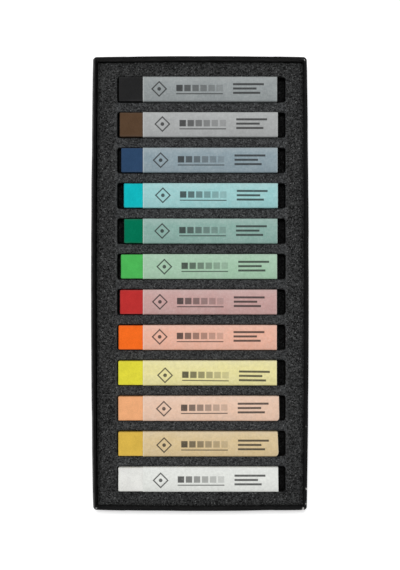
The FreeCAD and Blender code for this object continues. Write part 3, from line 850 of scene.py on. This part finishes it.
def sleeveMaterial(colour):
    material, tree, place = newMaterial("sleeve_" + colour, specular=0.12)
    fibres = useGroup(tree, paperFibre, Place=place, Size=0.4 * mm)
    cling = noise(tree, place, 6 * mm, 3.0, 0.6)
    fine = noise(tree, place, 1.1 * mm, 3.0, 0.7)
    # The pigment shows more where the paper clings. A painted highlight lies on the folds and the upper face,
    # and the cut edges are paler
    thin = tuple(0.96 * t + 0.04 * p for t, p in zip(sleeveTones[colour], pigments[colour]))
    pale = tuple(0.97 * t + 0.03 * w for t, w in zip(sleeveTones[colour], paperWhite))
    paper = mixColour(tree, spread(tree, cling, 0.35, 0.65), pale, thin)
    paper = mixColour(tree, 1.0, paper, spread(tree, fine, 0.35, 0.65, 0.93, 1.06, "LINEAR"), "MULTIPLY")
    paper = mixColour(tree, spread(tree, fibres["Tone"], -0.2, 1.0, 0.0, 0.07), paper, paperWhite)
    # Painted shade towards the near fold, away from the light
    paper = mixColour(tree, times(tree, mask(tree, "paintedShade"), 0.1), paper, paintedShadeTone)
    # Painted highlight on the folds, mostly the upper one, and across the upper face, together with the paler
    # paper at the cut ends
    paper = mixColour(tree, times(tree, mask(tree, "edge"), 0.3), paper, paperWhite)
    along, across, turn = printPlace[colour]
    uv = addNode(tree, "UVMap", uv_map="sleeveMap").outputs[0]
    unit = (sleeveSizes["mapUnit"] / mm,) * 3
    slid = {"Vector": uv, "Location": (-along, -across, 0), "Rotation": (0, 0, turn), "Scale": unit}
    moved = addNode(tree, "Mapping", slid).outputs[0]
    axes = addNode(tree, "SeparateXYZ", {"Vector": moved}).outputs
    ink = useGroup(tree, labelPrint, Along=axes[0], Across=axes[1])["Ink"]
    ink = times(tree, ink, spread(tree, fine, 0.2, 0.5, 0.78, 0.95))
    paper = mixColour(tree, ink, paper, shifted(pale, 0.07, 0.015))
    return finishMaterial(material, paper, 0.62, fibres["Height"], 0.03 * mm, 0.5)


def sleevePath(half):
    # Once round the stick on the paper's middle line, from the end under the lap over four faces to the lap
    s = sleeveSizes
    inner = half - s["fold"]
    quarter = np.linspace(0, math.pi / 2, 6)[1:-1]
    side = np.linspace(-1, 1, 11) * inner
    points, normals = [], []

    def run(ys, zs, ny, nz):
        points.append(np.stack(np.broadcast_arrays(ys, zs), 1))
        normals.append(np.tile([ny, nz], (len(points[-1]), 1)))

    def turn(cy, cz, fromAngle, grow=0.0):
        angle = fromAngle - quarter
        reach = s["fold"] + grow * quarter / (math.pi / 2)
        way = bearing(angle)
        points.append(np.array([cy, cz]) + way * reach[:, None])
        normals.append(way)

    run(np.linspace(s["lapTo"], -inner, 12), -half, 0, -1)
    turn(-inner, -inner, -math.pi / 2)
    run(-half, side, -1, 0)
    turn(-inner, inner, -math.pi)
    run(side, half, 0, 1)
    turn(inner, inner, math.pi / 2)
    run(half, side[::-1], 1, 0)
    turn(inner, -inner, 0.0, s["paper"])
    run(np.linspace(inner, s["lapFrom"], 6), -half - s["paper"], 0, -1)
    points, normals = np.vstack(points), np.vstack(normals)
    walked = np.hstack([0, np.cumsum(np.linalg.norm(np.diff(points, axis=0), axis=1))])
    top = np.argmin(np.abs(points[:, 0]) + np.abs(points[:, 1] - half))
    return points, normals, walked - walked[top]


def makeSleeve(colour, number):
    # The path round the stick carried along X, its ends cut crooked and its paper a little loose
    s = sleeveSizes
    low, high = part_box("wrapper_" + colour)
    low.x += s["backLeft"]
    high.x -= s["backRight"]
    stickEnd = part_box("stick_" + colour)[1].x
    half = (high.y - low.y) / 2 - s["paper"] / 2
    centre = (low.y + high.y) / 2, high.z - s["paper"] / 2 - half
    path, normals, walked = sleevePath(half)
    across = path[:, 0] / half
    evenRows = np.linspace(0, 1, int((high.x - low.x) / s["step"]))
    shares = np.unique(np.hstack([evenRows, s["closeRows"]]))
    rows, columns = len(shares), len(path)
    skew, crush, nip = sleeveCuts.get(colour, plainCut)
    # The far end is cut along x = end - skew * (1 + y / half) / 2, and its front corner along a slope
    length = (high.x - low.x) - skew * mm * (1 + across) / 2
    length -= np.clip(nip * mm - (path[:, 0] + half), 0, None) * (path[:, 1] > -half / 2)
    grid = sweep(low.x + shares[:, None] * length, path, centre)
    off = s["loose"] * np.clip(waves(grid, 500 + number, *s["looseWave"]), -1, 1)
    off += s["lift"] * smooth(low.x + 0.8 * mm, low.x, grid[:, 0])
    # Past the chalk nothing holds the paper, so it gives way inwards
    past = smooth(stickEnd - 0.1 * mm, high.x + 0.2 * mm, grid[:, 0])
    ragged = 0.6 + waves(grid, 600 + number, *s["crushWave"])
    off -= crush * mm * past * np.clip(ragged, 0, 1.4)
    grid[:, 1:] += np.tile(normals, (rows, 1)) * off[:, None]
    # Painted highlight on the folds, mostly the upper one that faces the light, and across the upper face
    # towards it; paler paper at the cuts
    foldHighlight = smooth(0.03, 0.27, 1 - np.max(np.abs(normals), axis=1)) * np.where(normals[:, 0] > 0, 0.9, 0.1)
    cut = smooth(0.009, 0.002, shares) + 0.5 * smooth(0.99, 1.0, shares)
    paintedTopLight = 0.28 * smooth(0.35, 0.9, across) * (path[:, 1] > 0)
    edge = np.maximum(np.tile(np.maximum(foldHighlight, paintedTopLight), rows), np.repeat(cut, columns))
    # Painted shade towards the near fold and down its side, away from the light
    paintedShade = np.tile(smooth(0.1, -1.0, across), rows)
    uv = np.stack([(grid[:, 0] - low.x) / s["mapUnit"], np.tile(walked, rows) / s["mapUnit"]], 1)
    piece = makePiece("sleeve_" + colour, grid, gridFaces(rows, columns), sleeveMaterial(colour),
                      {"edge": edge, "paintedShade": paintedShade}, uv)
    addPaper(piece, s["paper"], 0)
    dress(piece, "pastel_" + colour, "wrapper_" + colour)


for number, colour in enumerate(colourNames):
    makeSleeve(colour, number)
print("sleeves made")


# Floor, light and camera

stageSizes = {
    "floor": 3.0,
    "floorInset": 3 * mm,  # how far under the rim the floor's opening starts
    "cameraHigh": 560 * mm,  # above the tops of the sticks
    "imageHigh": 230.8 * mm,  # what the photograph's long side covers there
    "aim": (0.03 * mm, -0.6 * mm), "sensor": 36.0,
    "worldLight": 0.46, "keyPower": 5.12, "keySize": 0.13, "keyPlace": (-0.02, 0.13, 0.98),
    "floorGrey": (0.9, 0.9, 0.9, 1),
    "floorLift": 0.355,  # how much of the floor's white is its own, near the tray
    "whiteFrom": 0.25, "whiteTo": 0.9,  # over these distances it grows to the backdrop's white
}


def seenDirectly(tree):
    # 1 for what the camera, a glossy surface or a clear one shows
    rays = addNode(tree, "LightPath").outputs
    clear = calc(tree, "MAXIMUM", rays["Is Glossy Ray"], rays["Is Transmission Ray"])
    return calc(tree, "MAXIMUM", rays["Is Camera Ray"], clear)


def floorMaterial():
    # White of its own besides its lit grey, more with the distance, and clear from below
    s = stageSizes
    material, tree, place = newMaterial("paleFloor", specular=0.0)
    away = addNode(tree, "VectorMath", {0: place}, operation="LENGTH").outputs["Value"]
    lift = spread(tree, away, s["whiteFrom"], s["whiteTo"], s["floorLift"], 1.0)
    behind = addNode(tree, "NewGeometry").outputs["Backfacing"]
    feed(tree, tree.nodes["Principled BSDF"].inputs, {
        "Base Color": s["floorGrey"], "Roughness": 1.0, "Emission Color": (1, 1, 1, 1),
        "Emission Strength": times(tree, seenDirectly(tree), lift),
        "Alpha": calc(tree, "SUBTRACT", 1.0, behind),
    })
    return material


def makeFloor():
    # Open under the tray, so that the underside shows from below
    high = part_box("cover_paper")[1]
    inset = stageSizes["floorInset"]
    signs = np.array([(-1, -1, 0), (1, -1, 0), (1, 1, 0), (-1, 1, 0)], float)
    points = np.vstack([signs * stageSizes["floor"] / 2, signs * [high.x - inset, high.y - inset, 0]])
    faces = [(k, (k + 1) % 4, (k + 1) % 4 + 4, k + 4) for k in range(4)]
    makePiece("floor", points, faces, floorMaterial())


def makeWorld():
    world = bpy.data.worlds.new("studio")
    bpy.context.scene.world = world
    world.use_nodes = True
    tree = world.node_tree
    strength = spread(tree, seenDirectly(tree), 0.0, 1.0, stageSizes["worldLight"], 1.0, "LINEAR")
    feed(tree, tree.nodes["Background"].inputs, {"Color": (1, 1, 1, 1), "Strength": strength})


def makeLamp():
    # One lamp above the back of the tray, turned to its middle
    s = stageSizes
    lamp = bpy.data.lights.new("key", "AREA")
    lamp.energy = s["keyPower"]
    lamp.size = s["keySize"]
    holder = stand("key", lamp, s["keyPlace"])
    holder.rotation_euler = (-Vector(s["keyPlace"])).to_track_quat("-Z", "Y").to_euler()


def makeCamera():
    s = stageSizes
    camera = bpy.data.cameras.new("camera")
    camera.sensor_width = s["sensor"]
    camera.lens = s["sensor"] * s["cameraHigh"] / s["imageHigh"]
    camera.clip_start = 0.01
    camera.clip_end = 20
    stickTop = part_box("stick_" + colourNames[0])[1].z
    bpy.context.scene.camera = stand("camera", camera, (*s["aim"], stickTop + s["cameraHigh"]))


makeFloor()
makeWorld()
makeLamp()
makeCamera()
bpy.context.scene.view_settings.view_transform = "Standard"
print("stage made")
